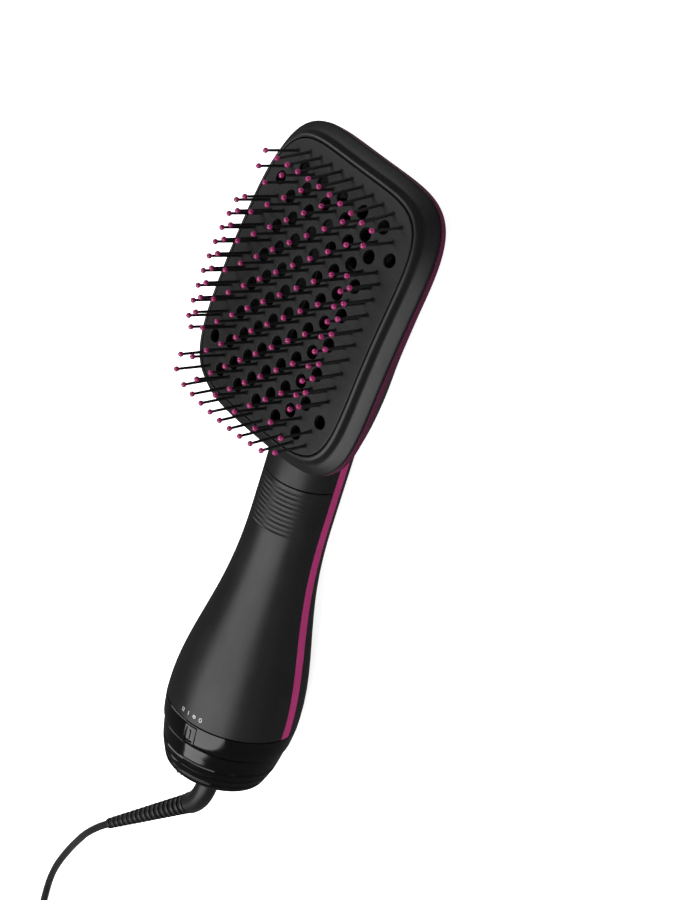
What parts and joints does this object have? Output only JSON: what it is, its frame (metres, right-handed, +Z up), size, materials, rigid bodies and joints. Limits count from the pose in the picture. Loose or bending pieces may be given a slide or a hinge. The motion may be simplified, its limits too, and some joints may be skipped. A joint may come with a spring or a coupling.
{
  "type": "hair dryer brush",
  "caption": "Paddle hair dryer brush with ball-tipped pins and air holes in a domed plate, a swelling handle with side stripes, a turning selector ring and a mains lead with plug",
  "frame": {"origin": "Middle of the brush's box without the lead, on the surface that it lies on", "axes": "+X toward the tip of the head, +Y to the left seen from the handle's end, +Z up, the side of the pins"},
  "size_m": [0.5873, 0.1922, 0.0794],
  "materials": {
    "head_front_frame": "fine satin texture",
    "bristle_plate": "fine grained texture",
    "pin_tips": "smooth",
    "head_trim": "satin",
    "head_rear_cover": "soft-touch",
    "air_baffle": "moulded",
    "head_screws": "zinc plated",
    "handle_front_shell": "soft-touch",
    "handle_rear_shell": "soft-touch",
    "handle_screw": "zinc plated",
    "side_trim_left": "satin",
    "side_trim_right": "satin",
    "mica_tube": "mica sheet",
    "heater_board_a": "mica board",
    "heater_board_b": "mica board",
    "heating_wire": "drawn resistance wire",
    "thermostat": "stamped",
    "thermal_fuse": "tinned",
    "motor_case": "drawn can",
    "rectifier_board": "solder mask",
    "motor_mount": "moulded",
    "motor_damper": "matte",
    "motor_shaft": "ground",
    "fan": "moulded",
    "switch_base": "phenolic",
    "contact_carrier": "nylon",
    "selector_ring": "polished",
    "end_cap": "polished",
    "inlet_screen": "perforated",
    "cap_screws": "zinc plated",
    "strain_relief": "matte",
    "cord_clamp": "nylon",
    "lead_wires": "insulated wire",
    "mains_lead": "matte",
    "lead_coil": "matte",
    "lead_tail": "matte",
    "coil_tie": "flat strip",
    "plug_body": "satin",
    "plug_pins": "nickel plated"
  },
  "bodies": {
    "brush": {"head_front_frame": "head_front_frame", "bristle_plate": "bristle_plate", "pin_tips": "pin_tips", "head_trim": "head_trim", "head_rear_cover": "head_rear_cover", "air_baffle": "air_baffle", "head_screws": "head_screws", "handle_front_shell": "handle_front_shell", "handle_rear_shell": "handle_rear_shell", "handle_screw": "handle_screw", "side_trim_left": "side_trim_left", "side_trim_right": "side_trim_right", "mica_tube": "mica_tube", "heater_board_a": "heater_board_a", "heater_board_b": "heater_board_b", "heating_wire": "heating_wire", "thermostat": "thermostat", "thermal_fuse": "thermal_fuse", "motor_case": "motor_case", "rectifier_board": "rectifier_board", "motor_mount": "motor_mount", "motor_damper": "motor_damper", "switch_base": "switch_base", "end_cap": "end_cap", "inlet_screen": "inlet_screen", "cap_screws": "cap_screws", "strain_relief": "strain_relief", "cord_clamp": "cord_clamp", "lead_wires": "lead_wires", "mains_lead": "mains_lead", "lead_coil": "lead_coil", "lead_tail": "lead_tail", "coil_tie": "coil_tie", "plug_body": "plug_body", "plug_pins": "plug_pins"},
    "selector": {"selector_ring": "selector_ring", "contact_carrier": "contact_carrier"},
    "rotor": {"motor_shaft": "motor_shaft", "fan": "fan"}
  },
  "joints": [
    {"name": "selector_turn", "type": "hinge", "parent": "brush", "child": "selector", "pos_m": [-0.12228, 0, 0.0316], "axis": [0.9967, 0, -0.0816], "range_deg": [-13, 6.5]},
    {"name": "fan_spin", "type": "hinge", "parent": "brush", "child": "rotor", "pos_m": [-0.11879, 0, 0.03132], "axis": [0.9967, 0, -0.0816], "continuous": true}
  ]
}
